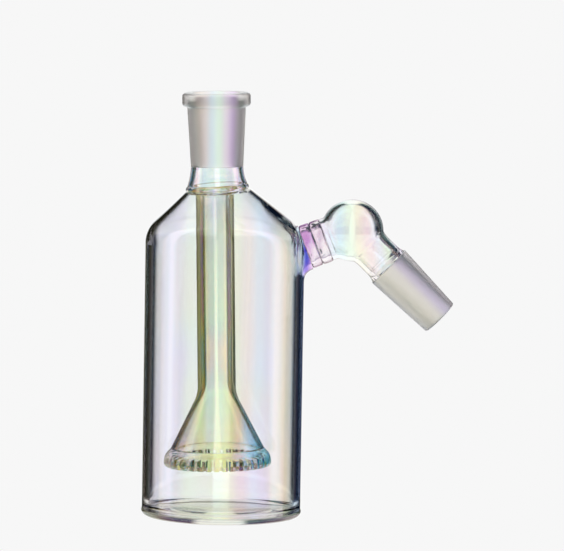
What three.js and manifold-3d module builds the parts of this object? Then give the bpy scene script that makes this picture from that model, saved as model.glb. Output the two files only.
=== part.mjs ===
// A lampworked gas-washing bottle: a glass chamber on a flat base disc, a ground socket on a short
// neck, a downstem that flares into a slotted diffuser, and a side arm with a splash bulb that ends
// in a ground cone pointing 45 degrees down. Every piece is glass and is sealed to its neighbours.
//
// Frame: millimetres, +Z up, origin at the centre of the base's underside, side arm towards +X.

import * as THREE from "three";
import { mergeVertices } from "three/addons/utils/BufferGeometryUtils.js";
import Module from "manifold-3d";

const wasm = await Module();
wasm.setup();

// ---------------------------------------------------------------- driving sizes, in mm and degrees

const sealGap = 0.3; // left between two pieces wherever they are sealed together at an angle

// Chamber: a drawn tube with a coned shoulder.
const chamberDiameter = 50;
const chamberWall = 1.8;
const wallTop = 85.6; // height at which the straight wall turns into the shoulder
const shoulderBend = 9;
const shoulderSlope = 39; // of the shoulder's cone, from the horizontal
const footFillet = 2.4;

// Base disc.
const baseThickness = 2;
const baseOverhang = 0.2;
const baseEdge = 0.9;

// Ground joints, size 14/23, with a taper of one in ten on the diameter.
const jointDiameter = 14.5;
const jointLength = 23;
const jointTaper = 0.1;
const jointWall = 2.1;
const lipWidth = 1.35;
const lipHeight = 4.3;
const lipEdge = 1.1;

// Neck: it stands a little off the chamber's axis and leans, as a hand-sealed neck does.
const neckOffset = 2.7;
const neckLean = 1.4;
const neckHeight = 6.8; // from the collar's middle to the socket
const neckFlare = 1.1;
const collarLean = 4.5;
const collarHeight = 2;
const collarWidth = 1.6;
const shoulderToCollar = 1.3; // from the end of the shoulder's cone to the collar's middle

// Downstem and diffuser.
const stemDiameter = 12;
const stemWall = 1.8;
const stemTopOffset = 3.5;
const stemFootOffset = 1.3;
const flangeWidth = 1.2;
const flangeHeight = 4;
const bellBend = 10;
const bellSlope = 27; // of the bell's cone, from the stem's axis
const bellRadius = 14.7;
const bellWall = 1.7;
const crownRadius = 16.9;
const crownHeight = 5.3;
const crownWall = 2.2;
const crownFloat = 15.6; // height of the diffuser above the surface that the bottle stands on
const slotCount = 40;
const slotWidth = 1;
const slotHeight = 3.8;
const plateThickness = 1.3;

// Side arm.
const armSlope = 21; // upwards, from the horizontal
const armDrop = 0.8; // depth of the arm's axis under wallTop, where it leaves the wall
const portReach = 0.3; // how far the port's end stands out of the wall, along the arm's axis
const bulbRadius = 9.8;
const bulbWall = 1.4;
const armRadius = 6.9;
const armWall = 1.8;
const armFlare = 1.7; // how much wider the port is at the chamber's wall
const sealRingLength = 3;
const sealRingCrown = 0.35;
const bulbNeckLand = 1.64; // length of the bulb's arm neck outside the ball
const coneSlope = 44; // of the ground cone, below the horizontal
const shankRadius = 6.4;
const shankWall = 1.7;
const shankLength = 3.4; // from the ball's surface to the seal with the ground cone
const coneSealLength = 2.4;
const coneTipEdge = 0.8;

// ---------------------------------------------------------------- derived sizes

const degrees = THREE.MathUtils.degToRad;
const chamberRadius = chamberDiameter / 2;
const jointRadius = jointDiameter / 2;
const stemRadius = stemDiameter / 2;
const coneTurn = degrees(90 - shoulderSlope);
const neckSeat = stemRadius + 4.2; // radius at which the shoulder's cone ends
const coneFoot = {
  radius: chamberRadius - shoulderBend * (1 - Math.cos(coneTurn)),
  height: wallTop + shoulderBend * Math.sin(coneTurn),
};
const coneRise = Math.tan(degrees(shoulderSlope));
const shoulderTop = coneFoot.height + (coneFoot.radius - neckSeat) * coneRise;
const collarMiddle = shoulderTop + shoulderToCollar;
const flangeRadius = stemRadius + flangeWidth;
const collarBore = flangeRadius + Math.abs(stemTopOffset - neckOffset) + sealGap;
const collarRadius = collarBore + collarWidth;
const neckHole = flangeRadius + sealGap / 2;
const crownBore = crownRadius - crownWall - 0.8;
const bellFoot = crownFloat + crownHeight + sealGap;
const armTilt = degrees(armSlope);
const bulbNeck = Math.sqrt(bulbRadius ** 2 - armRadius ** 2) + bulbNeckLand;
const shankEnd = bulbRadius + shankLength;
const portEnd = bulbNeck + 2 * sealRingLength + 3 * sealGap; // back from the bulb's centre
const bulbReach = portEnd + portReach;
const bulbCentre = new THREE.Vector3(
  chamberRadius + bulbReach * Math.cos(armTilt),
  0,
  wallTop - armDrop + bulbReach * Math.sin(armTilt),
);

// ---------------------------------------------------------------- mesh helpers

const aroundWide = 48; // facets around the chamber and its base
const aroundNarrow = 32; // and around everything smaller

// A solid of revolution about Z. draw(path) draws the outline with x as radius and y as height.
function revolve(draw, around = aroundNarrow, arcSteps = 3) {
  const path = new THREE.Path();
  draw(path);
  const points = path.getPoints(arcSteps);
  if (points[0].x > 0 || points.at(-1).x > 0) points.push(points[0].clone());
  return new THREE.LatheGeometry(points, around).rotateX(Math.PI / 2);
}

// A geometry as a manifold-3d solid.
function solid(geometry) {
  const bare = geometry.clone();
  bare.deleteAttribute("normal");
  bare.deleteAttribute("uv");
  const merged = mergeVertices(bare, 1e-4);
  return new wasm.Manifold(
    new wasm.Mesh({
      numProp: 3,
      vertProperties: merged.attributes.position.array,
      triVerts: new Uint32Array(merged.index.array),
    }),
  );
}

// A manifold-3d solid as a geometry.
function geometryOf(made) {
  const mesh = made.getMesh();
  const positions = new Float32Array(mesh.numVert * 3);
  for (let i = 0; i < mesh.numVert; i++) {
    positions.set(mesh.vertProperties.subarray(i * mesh.numProp, i * mesh.numProp + 3), i * 3);
  }
  const geometry = new THREE.BufferGeometry();
  geometry.setAttribute("position", new THREE.BufferAttribute(positions, 3));
  geometry.setIndex(new THREE.BufferAttribute(new Uint32Array(mesh.triVerts), 1));
  geometry.computeVertexNormals();
  return geometry;
}

// A group whose local +Z is tilted by lean towards +X, about the Y axis.
function tilted(lean, x, y, z) {
  const group = new THREE.Group();
  group.position.set(x, y, z);
  group.rotation.y = lean;
  group.updateMatrixWorld(true);
  return group;
}

// A wide slab between two heights on a group's axis, used to cut along a leaning plane.
function slab(group, from, to) {
  const box = new THREE.BoxGeometry(4 * chamberRadius, 4 * chamberRadius, to - from);
  return solid(box.translate(0, 0, (from + to) / 2).applyMatrix4(group.matrixWorld));
}

const clearGlass = new THREE.MeshStandardMaterial({
  color: 0xdfe6ea,
  roughness: 0.03,
  metalness: 0,
  transparent: true,
  opacity: 0.35,
});
const amberGlass = clearGlass.clone();
amberGlass.color.set(0xd9dc9a);
const groundGlass = clearGlass.clone();
groundGlass.color.set(0xcfcdc8);
groundGlass.roughness = 0.65;
groundGlass.opacity = 0.8;

function piece(name, geometry, material, parent) {
  const mesh = new THREE.Mesh(geometry, material);
  mesh.name = name;
  parent.add(mesh);
  return mesh;
}

// ---------------------------------------------------------------- the frame's groups

const bottle = new THREE.Group();
const collarFrame = tilted(-degrees(collarLean), -neckOffset, 0, collarMiddle);
const neckFrame = tilted(-degrees(neckLean), -neckOffset, 0, collarMiddle);
const stemTop = collarMiddle;
const stemDrop = stemTop - crownFloat;
const stemLean = Math.atan((stemTopOffset - stemFootOffset) / stemDrop);
const stemFrame = tilted(-stemLean, -stemTopOffset, 0, stemTop);
const armFrame = tilted(Math.PI / 2 - armTilt, bulbCentre.x, 0, bulbCentre.z);
const coneFrame = tilted(Math.PI / 2 + degrees(coneSlope), bulbCentre.x, 0, bulbCentre.z);
bottle.add(collarFrame, neckFrame, stemFrame, armFrame, coneFrame);

// ---------------------------------------------------------------- base disc

function baseDisc() {
  const radius = chamberRadius + baseOverhang;
  return revolve((path) => {
    path.moveTo(0, 0);
    path.lineTo(radius - baseEdge, 0);
    path.absarc(radius - baseEdge, baseEdge, baseEdge, -Math.PI / 2, 0);
    path.lineTo(radius, baseThickness - 0.4);
    path.lineTo(radius - 0.4, baseThickness);
    path.lineTo(0, baseThickness);
  }, aroundWide);
}
piece("base_disc", baseDisc(), clearGlass, bottle);

// ---------------------------------------------------------------- chamber

// The chamber's side and shoulder, set in from its outside by inset.
function drawShoulder(path, inset, top) {
  const bend = shoulderBend - inset;
  path.absarc(chamberRadius - shoulderBend, wallTop, bend, 0, coneTurn);
  const from = path.currentPoint.clone();
  const run = (top - from.y) / coneRise;
  path.lineTo(from.x - run, top);
  path.lineTo(0, top);
}

// Above wallTop each level slides off the wall's axis towards the neck's, faster and faster.
function leanToNeck(geometry) {
  const at = geometry.getAttribute("position");
  const span = collarMiddle - wallTop;
  for (let i = 0; i < at.count; i++) {
    const share = THREE.MathUtils.clamp((at.getZ(i) - wallTop) / span, 0, 1);
    at.setX(i, at.getX(i) - neckOffset * share ** 2.5);
  }
  return geometry;
}

function chamber() {
  const bore = chamberRadius - chamberWall;
  const top = collarMiddle + 1;
  const outside = revolve((path) => {
    path.moveTo(0, baseThickness);
    path.lineTo(chamberRadius, baseThickness);
    drawShoulder(path, 0, top);
  }, aroundWide);
  const inside = revolve((path) => {
    path.moveTo(0, baseThickness - 1);
    path.lineTo(bore - footFillet, baseThickness - 1);
    path.lineTo(bore - footFillet, baseThickness);
    path.absarc(bore - footFillet, baseThickness + footFillet, footFillet, -Math.PI / 2, 0);
    drawShoulder(path, chamberWall, top);
  }, aroundWide);
  const hole = revolve((path) => {
    path.moveTo(0, wallTop);
    path.lineTo(neckHole, wallTop);
    path.lineTo(neckHole, top + 5);
    path.lineTo(0, top + 5);
  }).translate(-(neckOffset + stemTopOffset) / 2, 0, 0);

  // The port is a short lip pulled out of the wall, wider where it leaves it.
  const lipEnd = -portEnd;
  const root = lipEnd - 7;
  const port = (inset, foot, past) => revolve((path) => {
    const narrow = armRadius - inset;
    path.moveTo(0, foot);
    path.lineTo(narrow + 2.1 * armFlare, foot);
    path.quadraticCurveTo(narrow + armFlare / 3, root + 3.4, narrow + 0.5, lipEnd);
    path.lineTo(narrow + 0.5, lipEnd + past);
    path.lineTo(0, lipEnd + past);
  }, aroundNarrow, 5);
  const portOutside = solid(port(0, root, 0.01).applyMatrix4(armFrame.matrixWorld));
  const portInside = solid(port(armWall, root - 4, 1).applyMatrix4(armFrame.matrixWorld));

  const glass = solid(leanToNeck(outside)).add(portOutside);
  const air = solid(leanToNeck(inside)).add(portInside).add(solid(hole));
  const above = slab(collarFrame, -collarHeight / 2 - sealGap, 40);
  const beyond = solid(
    new THREE.CylinderGeometry(2 * armRadius, 2 * armRadius, 10, 24)
      .rotateX(Math.PI / 2)
      .translate(0, 0, lipEnd + 5)
      .applyMatrix4(armFrame.matrixWorld),
  );
  return geometryOf(glass.subtract(air).subtract(above).subtract(beyond));
}

piece("chamber", chamber(), clearGlass, bottle);

// ---------------------------------------------------------------- neck

function collar() {
  const half = collarHeight / 2;
  return revolve((path) => {
    path.moveTo(collarBore, -half);
    path.lineTo(collarRadius - half, -half);
    path.absarc(collarRadius - half, 0, half, -Math.PI / 2, Math.PI / 2);
    path.lineTo(collarBore, half);
  });
}
piece("neck_collar", collar(), clearGlass, collarFrame);

// Radius of the socket's ground bore at a height over its small end.
const boreAt = (height) => jointRadius - (jointTaper / 2) * (jointLength - height);

function neckTube() {
  const top = neckHeight - sealGap;
  const outer = boreAt(0) + jointWall;
  const wide = outer + neckFlare;
  const blank = revolve((path) => {
    path.moveTo(wide - jointWall, -2);
    path.lineTo(wide, -2);
    path.lineTo(wide, 0);
    path.quadraticCurveTo(outer + 0.1, top * 0.55, outer, top);
    path.lineTo(boreAt(0), top);
    path.quadraticCurveTo(boreAt(0) + 0.1, top * 0.55, wide - jointWall, 0);
  }).applyMatrix4(neckFrame.matrixWorld);
  const seat = slab(collarFrame, -10, collarHeight / 2 + sealGap);
  return geometryOf(solid(blank).subtract(seat));
}
piece("neck_tube", neckTube(), clearGlass, bottle);

function groundSocket() {
  const top = neckHeight + jointLength;
  const lip = boreAt(jointLength) + jointWall + lipWidth;
  const lipFoot = top - lipHeight;
  return revolve((path) => {
    path.moveTo(boreAt(0), neckHeight);
    path.lineTo(boreAt(0) + jointWall, neckHeight);
    path.lineTo(boreAt(jointLength - lipHeight) + jointWall, lipFoot);
    path.lineTo(lip - lipEdge, lipFoot);
    path.absarc(lip - lipEdge, lipFoot + lipEdge, lipEdge, -Math.PI / 2, 0);
    path.absarc(lip - lipEdge, top - lipEdge, lipEdge, 0, Math.PI / 2);
    path.lineTo(boreAt(jointLength) + 0.5, top);
    path.lineTo(boreAt(jointLength), top - 0.5);
  });
}
piece("ground_socket", groundSocket(), groundGlass, neckFrame);

// ---------------------------------------------------------------- downstem and diffuser

// Everything on the downstem hangs below its flange, so heights in this frame are negative.
const stemBottom = -(stemTop - bellFoot);

// The height at which the stem starts to bend out, so that the bell's cone ends at its radius.
function bellStart(radius, bend, foot, width) {
  const slope = degrees(bellSlope);
  const bentOut = bend * (1 - Math.cos(slope));
  return foot + bend * Math.sin(slope) + (width - radius - bentOut) / Math.tan(slope);
}

function downstem() {
  const slope = degrees(bellSlope);
  const bore = stemRadius - stemWall;
  const outerBend = bellStart(stemRadius, bellBend, stemBottom, bellRadius);
  const bend = bellBend + stemWall;
  const innerBend = bellStart(bore, bend, stemBottom, bellRadius - bellWall);
  return revolve((path) => {
    path.moveTo(flangeRadius - stemWall, 0);
    path.quadraticCurveTo(bore, -flangeHeight / 2, bore, -flangeHeight);
    path.lineTo(bore, innerBend);
    path.absarc(bore + bend, innerBend, bend, Math.PI, Math.PI + slope);
    path.lineTo(bellRadius - bellWall, stemBottom);
    path.lineTo(bellRadius, stemBottom);
    const turn = Math.PI + slope;
    const from = outerBend - bellBend * Math.sin(slope);
    path.lineTo(stemRadius + bellBend * (1 - Math.cos(slope)), from);
    path.absarc(stemRadius + bellBend, outerBend, bellBend, turn, Math.PI, true);
    path.lineTo(stemRadius, -flangeHeight);
    path.quadraticCurveTo(stemRadius, -flangeHeight / 2, flangeRadius, -0.8);
    path.lineTo(flangeRadius, 0);
  });
}
piece("downstem_with_bell", downstem(), amberGlass, stemFrame);

// The crown is a rounded ring with radial slots open at its foot, which break the gas into bubbles.
function crown() {
  const top = stemBottom - sealGap;
  const foot = top - crownHeight;
  const ring = solid(revolve((path) => {
    path.moveTo(crownBore, foot);
    path.lineTo(crownRadius - 0.7, foot);
    path.lineTo(crownRadius, foot + 1.1);
    path.quadraticCurveTo(crownRadius, foot + crownHeight * 0.55, bellRadius, top);
    path.lineTo(crownBore, top);
  }, 2 * slotCount, 2));
  const slot = new THREE.BoxGeometry(2 * crownWall + 4, slotWidth, slotHeight);
  slot.translate(crownRadius, 0, foot + slotHeight / 2 - 0.5);
  let slots = null;
  for (let i = 0; i < slotCount; i++) {
    const turned = solid(slot.clone().rotateZ((2 * Math.PI * (i + 0.5)) / slotCount));
    slots = slots ? slots.add(turned) : turned;
  }
  return geometryOf(ring.subtract(slots));
}
piece("diffuser_crown", crown(), amberGlass, stemFrame);

function floorPlate() {
  const foot = stemBottom - sealGap - crownHeight;
  const radius = crownBore - sealGap;
  return revolve((path) => {
    path.moveTo(0, foot);
    path.lineTo(radius, foot);
    path.lineTo(radius, foot + plateThickness);
    path.lineTo(0, foot + plateThickness);
  });
}
piece("diffuser_plate", floorPlate(), amberGlass, stemFrame);

// ---------------------------------------------------------------- side arm

// A bead of fused glass round the arm, from one distance to another behind the bulb's centre.
function sealRing(from, to) {
  const middle = -(from + to) / 2;
  return revolve((path) => {
    path.moveTo(armRadius - armWall, -to);
    path.lineTo(armRadius, -to);
    path.quadraticCurveTo(armRadius + 2 * sealRingCrown, middle, armRadius, -from);
    path.lineTo(armRadius - armWall, -from);
  });
}
const bulbRingFrom = bulbNeck + sealGap;
const portRingFrom = bulbRingFrom + sealRingLength + sealGap;
piece("bulb_seal_ring", sealRing(bulbRingFrom, bulbRingFrom + sealRingLength), clearGlass, armFrame);
piece("port_seal_ring", sealRing(portRingFrom, portRingFrom + sealRingLength), clearGlass, armFrame);

// The splash bulb: a blown ball with a neck towards the chamber and a shank towards the cone.
function bulb() {
  const ball = (radius) => solid(new THREE.SphereGeometry(radius, 28, 14).rotateX(Math.PI / 2));
  const neck = revolve((path) => {
    path.moveTo(0, -bulbNeck);
    path.lineTo(armRadius, -bulbNeck);
    path.lineTo(armRadius, 0);
    path.lineTo(0, 0);
  });
  const neckBore = revolve((path) => {
    path.moveTo(0, -bulbRadius - 1);
    path.lineTo(armRadius + 1, -bulbRadius - 1);
    path.lineTo(armRadius + 1, -bulbNeck);
    path.lineTo(armRadius - armWall, -bulbNeck);
    path.lineTo(armRadius - armWall, 0);
    path.lineTo(0, 0);
  });
  const shank = (radius, end) => revolve((path) => {
    path.moveTo(0, 0);
    path.lineTo(radius + 1.2, 0);
    path.lineTo(radius + 1.2, bulbRadius - 2.2);
    path.quadraticCurveTo(radius - 0.3, bulbRadius - 0.6, radius, end);
    path.lineTo(0, end);
  });
  const turnArm = new THREE.Matrix4().makeRotationY(Math.PI / 2 - armTilt);
  const turnCone = new THREE.Matrix4().makeRotationY(Math.PI / 2 + degrees(coneSlope));
  const glass = ball(bulbRadius)
    .add(solid(neck.applyMatrix4(turnArm)))
    .add(solid(shank(shankRadius, shankEnd).applyMatrix4(turnCone)));
  const air = ball(bulbRadius - bulbWall)
    .add(solid(neckBore.applyMatrix4(turnArm)))
    .add(solid(shank(shankRadius - shankWall, shankEnd + 1).applyMatrix4(turnCone)));
  return geometryOf(glass.subtract(air));
}
const bulbMesh = piece("splash_bulb", bulb(), clearGlass, bottle);
bulbMesh.position.copy(bulbCentre);

function coneSeal() {
  const from = shankEnd + sealGap;
  const to = from + coneSealLength - sealGap;
  return revolve((path) => {
    path.moveTo(shankRadius - shankWall, from);
    path.lineTo(shankRadius, from);
    path.quadraticCurveTo(shankRadius, (from + to) / 2, jointRadius - 0.2, to);
    path.lineTo(shankRadius - shankWall, to);
  });
}
piece("cone_seal_ring", coneSeal(), clearGlass, coneFrame);

function groundCone() {
  const from = shankEnd + coneSealLength + sealGap;
  const to = from + jointLength;
  const tip = jointRadius - (jointTaper / 2) * jointLength;
  return revolve((path) => {
    path.moveTo(shankRadius - shankWall, from);
    path.lineTo(jointRadius - 0.2, from);
    path.lineTo(jointRadius, from + 0.4);
    path.lineTo(tip + (jointTaper / 2) * coneTipEdge, to - coneTipEdge);
    path.lineTo(tip - coneTipEdge / 2, to);
    path.lineTo(shankRadius - shankWall, to);
  });
}
piece("ground_cone", groundCone(), groundGlass, coneFrame);

export default bottle;
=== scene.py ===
# %% [markdown]
# # A gas washing bottle in coated glass
# The bottle is lampworked: tubes are blown, flared and sealed to each other over a flame, and the
# finished bottle gets a thin metal-oxide coat that shimmers in pastel colours. Glass shows every
# facet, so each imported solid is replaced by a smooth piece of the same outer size, made as a glass
# worker makes it: turned on a lathe, pulled into ports, slit with a wheel and ground with grit.

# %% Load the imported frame
import math

import bmesh
import bpy
from mathutils import Matrix, Vector
from mathutils.bvhtree import BVHTree


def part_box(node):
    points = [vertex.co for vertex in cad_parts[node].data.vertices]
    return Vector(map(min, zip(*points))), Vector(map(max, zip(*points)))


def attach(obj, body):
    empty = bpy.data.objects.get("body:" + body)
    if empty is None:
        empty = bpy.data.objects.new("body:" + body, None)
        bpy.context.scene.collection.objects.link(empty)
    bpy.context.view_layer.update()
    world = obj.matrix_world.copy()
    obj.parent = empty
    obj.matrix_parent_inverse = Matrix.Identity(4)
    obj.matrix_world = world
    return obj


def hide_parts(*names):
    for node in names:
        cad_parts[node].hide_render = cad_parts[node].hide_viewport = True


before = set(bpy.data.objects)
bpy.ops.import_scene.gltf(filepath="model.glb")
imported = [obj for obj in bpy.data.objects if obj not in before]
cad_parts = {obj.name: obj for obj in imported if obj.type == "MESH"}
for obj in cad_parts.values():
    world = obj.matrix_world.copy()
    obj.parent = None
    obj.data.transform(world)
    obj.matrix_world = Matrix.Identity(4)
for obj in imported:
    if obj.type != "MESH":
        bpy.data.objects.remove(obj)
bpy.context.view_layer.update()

# %% [markdown]
# ## Sizes that several pieces share
# All sizes are in millimetres and are the ones that the solids were made with, unless a comment says
# otherwise. `MM` turns them into Blender's metres. They could all stand in one table, but a size is
# easier to follow next to the piece that it shapes, so only those that several pieces meet on come
# first. Places that a solid already has, such as the collar's height, are read from its box.

# %% Units, seams and the chamber
MM = 0.001

SEAL_GAP = 0.3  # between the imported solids
SEAM = 0.04  # between two pieces here: just enough to show the line of the seal

CHAMBER_RADIUS = 25.0
WALL_TOP = 85.6
BASE_THICKNESS = 2.0
JOINT_RADIUS = 7.25
JOINT_LENGTH = 23.0
JOINT_TAPER = 0.05

# %% Where the neck and the stem stand
NECK_OFFSET = 2.7
COLLAR_LEAN = 4.5
COLLAR_HEIGHT = 2.0
STEM_RADIUS = 6.0
FLANGE_WIDTH = 1.2

collar_low, collar_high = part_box("neck_collar")
collar_middle = (collar_low.z + collar_high.z) / 2 / MM
print("the collar is at a height of", round(collar_middle, 2), "mm")

# %% Where the side arm runs
ARM_SLOPE = 21.0
ARM_DROP = 0.8
ARM_RADIUS = 6.9
PORT_REACH = 0.3
SEAL_RING_LENGTH = 3.0
BULB_RADIUS = 9.8
BULB_NECK_LAND = 1.64
CONE_SLOPE = 44.0

bulb_neck = math.sqrt(BULB_RADIUS**2 - ARM_RADIUS**2) + BULB_NECK_LAND
port_end = bulb_neck + 2 * SEAL_RING_LENGTH + 3 * SEAL_GAP
bulb_reach = port_end + PORT_REACH
arm_axis = Vector((math.cos(math.radians(ARM_SLOPE)), 0, math.sin(math.radians(ARM_SLOPE))))
cone_axis = Vector((math.cos(math.radians(CONE_SLOPE)), 0, -math.sin(math.radians(CONE_SLOPE))))
bulb_centre = Vector((CHAMBER_RADIUS, 0, WALL_TOP - ARM_DROP)) + arm_axis * bulb_reach
print("the bulb's centre is at", [round(v, 2) for v in bulb_centre])

# %% [markdown]
# ## The camera
# A near camera would make the bottle's upright edges lean, so this one stands far away, a little
# above the bench, and has a long lens.

# %% Set up the camera
CAMERA_PLACE = (18.0, -1600.0, 233.0)
CAMERA_TILT = 5.608
CAMERA_ROLL = 0.95
CAMERA_LENS = 327.3

camera_data = bpy.data.cameras.new("camera")
camera_data.lens = CAMERA_LENS
camera_data.clip_start = 0.1
camera_data.clip_end = 10
camera = bpy.data.objects.new("camera", camera_data)
bpy.context.scene.collection.objects.link(camera)
camera.matrix_world = (
    Matrix.Translation(Vector(CAMERA_PLACE) * MM)
    @ Matrix.Rotation(math.radians(90 - CAMERA_TILT), 4, "X")
    @ Matrix.Rotation(math.radians(CAMERA_ROLL), 4, "Z")
)
bpy.context.scene.camera = camera
print("camera at", [round(v, 3) for v in camera.matrix_world.translation])

# %% [markdown]
# ## The lathe
# Most of the bottle is round, so most pieces are one outline spun about an axis. A Screw modifier
# would do it too, but the spin operator shows each step. The outline is drawn as by hand: a plane is
# collapsed to one vertex, which is extruded from point to point. Arcs and bends are worked out by
# formula, so an outline only states where it turns.


# %% Parts of an outline, as points of radius and height
def arc(radius, height, size, start, end, steps=8):
    """Points on a round stretch, from one angle to another in degrees."""
    turns = [math.radians(start + (end - start) * step / steps) for step in range(steps + 1)]
    return [(radius + size * math.cos(turn), height + size * math.sin(turn)) for turn in turns]


def bend(first, control, last, steps=8):
    """Points on a soft bend that leaves first, and reaches last, in the direction of control."""
    points = []
    for step in range(steps + 1):
        t = step / steps
        near, middle, far = (1 - t) ** 2, 2 * t * (1 - t), t**2
        points.append(tuple(near * a + middle * b + far * c for a, b, c in zip(first, control, last)))
    return points


def run(first, last, steps):
    """Evenly spaced points on a straight stretch."""
    return [
        tuple(a + (b - a) * step / steps for a, b in zip(first, last)) for step in range(steps + 1)
    ]


# %% Draw an outline and spin it
def pick_only(*pieces):
    bpy.ops.object.select_all(action="DESELECT")
    for piece in pieces:
        piece.select_set(True)
    bpy.context.view_layer.objects.active = pieces[0]


def turn_on_lathe(name, outline, steps=96):
    """Extrude one vertex along the outline, then spin it about the z axis."""
    bpy.ops.object.select_all(action="DESELECT")
    bpy.ops.mesh.primitive_plane_add(size=MM)
    piece = bpy.context.object
    piece.name = piece.data.name = name
    bpy.ops.object.mode_set(mode="EDIT")
    bpy.ops.mesh.merge(type="CENTER")
    here = (0, 0)
    for number, there in enumerate(outline):
        step = {"value": ((there[0] - here[0]) * MM, 0, (there[1] - here[1]) * MM)}
        if number == 0:
            bpy.ops.transform.translate(**step)
        elif math.dist(here, there) > 1e-4:
            bpy.ops.mesh.extrude_region_move(TRANSFORM_OT_translate=step)
        here = there
    bpy.ops.mesh.select_all(action="SELECT")
    bpy.ops.mesh.spin(steps=steps, angle=2 * math.pi, center=(0, 0, 0), axis=(0, 0, 1))
    bpy.ops.mesh.select_all(action="SELECT")
    bpy.ops.mesh.remove_doubles(threshold=2e-6)
    bpy.ops.mesh.normals_make_consistent(inside=False)
    bpy.ops.object.mode_set(mode="OBJECT")
    return piece


# %% Place a piece and finish it
def put(piece, lean=0.0, at=(0, 0, 0)):
    """Lean a piece from upright towards +x, move it, and keep its place in its mesh."""
    piece.rotation_euler = (0, math.radians(lean), 0)
    piece.location = Vector(at) * MM
    pick_only(piece)
    bpy.ops.object.transform_apply(location=True, rotation=True, scale=True)
    return piece


def finish_glass(piece, node, material, smooth=35):
    """Shade a piece, give it its glass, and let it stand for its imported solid."""
    pick_only(piece)
    bpy.ops.object.shade_smooth_by_angle(angle=math.radians(smooth))
    piece.data.materials.clear()
    piece.data.materials.append(material)
    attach(piece, "root")
    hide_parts(node)
    print(piece.name, "has", len(piece.data.polygons), "faces")


# %% [markdown]
# ## Coated glass
# Clear glass is a transmission shader. The coat is a thin film on it: its thickness drifts over the
# bottle, so its reflections drift in colour. What the coat takes from the light that passes is a
# pastel tint, drawn as soft bands across the bottle. Where light grazes a wall it crosses more of the
# coat, which deepens the tint at the rims; the rim colours here are far darker than that, and are
# painted shade for the dark lines at the edges of the walls. Absorption in the glass's volume could
# deepen the rims as well, but the coat lies on the skin, so its tint is put there. One function
# builds every kind of glass here, from a few short helpers, and each piece gives it its own colours.
# The index is that of borosilicate, except where a piece gives a lower one to keep its edges pale.


# %% Soft bands of colour
def bands(nodes, links, value, tints):
    """A colour ramp over a place in millimetres; a colour's fourth value is how clear it is."""
    low, high = tints[0][0], tints[-1][0]
    share = nodes.new("ShaderNodeMapRange")
    share.inputs["From Min"].default_value = low * MM
    share.inputs["From Max"].default_value = high * MM
    links.new(value, share.inputs["Value"])
    ramp = nodes.new("ShaderNodeValToRGB")
    ramp.color_ramp.interpolation = "EASE"
    marks = ramp.color_ramp.elements
    while len(marks) < len(tints):
        marks.new(0.5)
    for mark, (place, colour) in zip(marks, tints):
        mark.position = (place - low) / (high - low)
        mark.color = (*colour[:3], colour[3] if len(colour) > 3 else 1)
    links.new(share.outputs["Result"], ramp.inputs["Fac"])
    return ramp


# %% Where a point lies, how far the coat wanders there, and how the light meets the wall
def along(nodes, links, place, direction):
    """How far a point lies in a direction."""
    distance = nodes.new("ShaderNodeVectorMath")
    distance.operation = "DOT_PRODUCT"
    distance.inputs[1].default_value = direction
    links.new(place, distance.inputs[0])
    return distance.outputs["Value"]


def cloudy(nodes, links, place, scale):
    """Slow, soft noise."""
    noise = nodes.new("ShaderNodeTexNoise")
    noise.inputs["Scale"].default_value = scale
    noise.inputs["Detail"].default_value = 1
    links.new(place, noise.inputs["Vector"])
    return noise.outputs["Fac"]


def shifted(nodes, links, distance, wander, drift):
    """Push a distance to and fro by up to half of drift, so that bands don't run dead straight."""
    push = nodes.new("ShaderNodeMath")
    push.operation = "MULTIPLY_ADD"
    push.inputs[1].default_value = drift * MM
    push.inputs[2].default_value = -drift / 2 * MM
    links.new(wander, push.inputs[0])
    total = nodes.new("ShaderNodeMath")
    links.new(distance, total.inputs[0])
    links.new(push.outputs[0], total.inputs[1])
    return total.outputs[0]


def grazed(nodes, links, graze):
    """From 0 where the wall is seen face on to 1 where the light grazes it."""
    slant = nodes.new("ShaderNodeLayerWeight")
    slant.inputs["Blend"].default_value = 0.5
    grazing = nodes.new("ShaderNodeMapRange")
    grazing.name = "grazing"
    grazing.interpolation_type = "SMOOTHSTEP"
    grazing.inputs["From Min"].default_value = graze[0]
    grazing.inputs["From Max"].default_value = graze[1]
    links.new(slant.outputs["Facing"], grazing.inputs["Value"])
    return grazing.outputs["Result"]


# %% Mix two colours, lay the thin film and ripple the surface
def mixed(nodes, links, share, first, second, blend="MIX"):
    """share is a link or a number."""
    mix = nodes.new("ShaderNodeMix")
    mix.data_type = "RGBA"
    mix.blend_type = blend
    if isinstance(share, (int, float)):
        mix.inputs["Factor"].default_value = share
    else:
        links.new(share, mix.inputs["Factor"])
    links.new(first, mix.inputs["A"])
    links.new(second, mix.inputs["B"])
    return mix.outputs["Result"]


def lay_film(nodes, links, shader, wander, film):
    """film is the coat's (thinnest, thickest) in nm, for noise of 0.3 and 0.7, which seldom goes
    further."""
    coat = nodes.new("ShaderNodeMapRange")
    coat.inputs["From Min"].default_value = 0.3
    coat.inputs["From Max"].default_value = 0.7
    coat.inputs["To Min"].default_value = film[0]
    coat.inputs["To Max"].default_value = film[1]
    links.new(wander, coat.inputs["Value"])
    links.new(coat.outputs["Result"], shader.inputs["Thin Film Thickness"])


def ripple_skin(nodes, links, shader, place, scale, strength):
    bump = nodes.new("ShaderNodeBump")
    bump.inputs["Strength"].default_value = strength
    bump.inputs["Distance"].default_value = 1 * MM
    links.new(cloudy(nodes, links, place, scale), bump.inputs["Height"])
    links.new(bump.outputs["Normal"], shader.inputs["Normal"])


# %% Build a coated glass
FILM_INDEX = 1.62
COAT_CLOUDS = 28  # how finely the coat's thickness wanders, in clouds to the metre


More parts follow.
